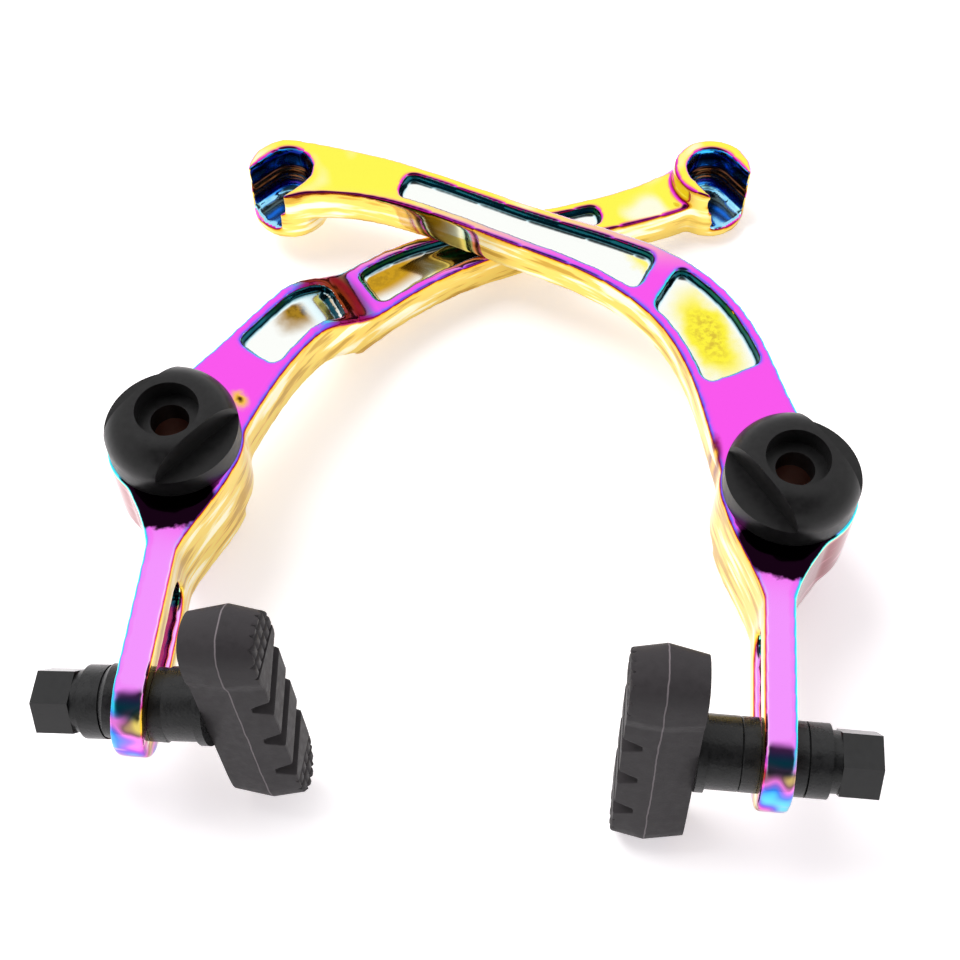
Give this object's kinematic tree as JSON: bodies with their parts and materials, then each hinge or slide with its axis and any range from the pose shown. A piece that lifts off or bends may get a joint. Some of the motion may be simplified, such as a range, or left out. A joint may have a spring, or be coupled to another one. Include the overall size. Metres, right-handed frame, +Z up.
{
  "type": "bicycle u brake pair",
  "caption": "Crossing U-shaped rim brake arms with oil-slick plating, spring caps, slotted legs and rubber pads on swivelling studs.",
  "frame": {"origin": "on the table, under the middle of the pair's outline", "axes": "+Z up from the table, +Y from the pads towards the cable ends, +X to the right arm's pivot"},
  "size_m": [0.1349, 0.1391, 0.0458],
  "materials": {
    "plated_arm": "oil-slick plated, from yellow through pink to blue",
    "bronze": "plain bearing bronze",
    "spring_steel": "spring wire",
    "black_cap": "satin black",
    "pad_rubber": "matte moulded rubber",
    "black_steel": "black oxide, slightly rough",
    "black_nut": "gloss black"
  },
  "bodies": {
    "base": {"right_arm": "plated_arm", "right_bushing": "bronze", "right_spring": "spring_steel", "left_arm": "plated_arm", "left_bushing": "bronze", "left_spring": "spring_steel"},
    "right_tension_cap": {"right_cap": "black_cap"},
    "right_stud_slider": {"right_inner_ball_washer": "black_steel", "right_outer_ball_washer": "black_steel"},
    "right_stud_seat": {"right_cup_spacer": "black_steel", "right_cup_washer": "black_steel"},
    "right_pad_holder": {"right_pad_stud": "black_steel", "right_pad": "pad_rubber", "right_lock_washer": "black_steel", "right_nut": "black_nut"},
    "left_tension_cap": {"left_cap": "black_cap"},
    "left_stud_slider": {"left_inner_ball_washer": "black_steel", "left_outer_ball_washer": "black_steel"},
    "left_stud_seat": {"left_cup_spacer": "black_steel", "left_cup_washer": "black_steel"},
    "left_pad_holder": {"left_pad_stud": "black_steel", "left_pad": "pad_rubber", "left_lock_washer": "black_steel", "left_nut": "black_nut"}
  },
  "joints": [
    {"name": "right_cap_turn", "type": "hinge", "parent": "base", "child": "right_tension_cap", "pos_m": [0.0527, -0.012, 0.02532], "axis": [0, 0.1144, 0.9934], "range_deg": [0, 150], "stiffness_Nm_per_rad": 0.4},
    {"name": "right_pad_height", "type": "slide", "parent": "base", "child": "right_stud_slider", "axis": [0, 0.9934, -0.1144], "range_m": [0, 0.018]},
    {"name": "right_pad_tilt", "type": "hinge", "parent": "right_stud_slider", "child": "right_stud_seat", "pos_m": [0.0511, -0.05772, 0.02163], "axis": [0, 0.9934, -0.1144], "range_deg": [-10, 10]},
    {"name": "right_pad_spin", "type": "hinge", "parent": "right_stud_seat", "child": "right_pad_holder", "pos_m": [0.0511, -0.05772, 0.02163], "axis": [-1, 0, 0], "continuous": true},
    {"name": "left_cap_turn", "type": "hinge", "parent": "base", "child": "left_tension_cap", "pos_m": [-0.0521, -0.012, 0.02532], "axis": [0, 0.1144, 0.9934], "range_deg": [-150, 0], "stiffness_Nm_per_rad": 0.4},
    {"name": "left_pad_height", "type": "slide", "parent": "base", "child": "left_stud_slider", "axis": [0, 0.9934, -0.1144], "range_m": [0, 0.018]},
    {"name": "left_pad_tilt", "type": "hinge", "parent": "left_stud_slider", "child": "left_stud_seat", "pos_m": [-0.0505, -0.05772, 0.02163], "axis": [0, -0.9934, 0.1144], "range_deg": [-18, 2]},
    {"name": "left_pad_spin", "type": "hinge", "parent": "left_stud_seat", "child": "left_pad_holder", "pos_m": [-0.0505, -0.05772, 0.02163], "axis": [0.9903, 0.0159, 0.1383], "continuous": true}
  ]
}
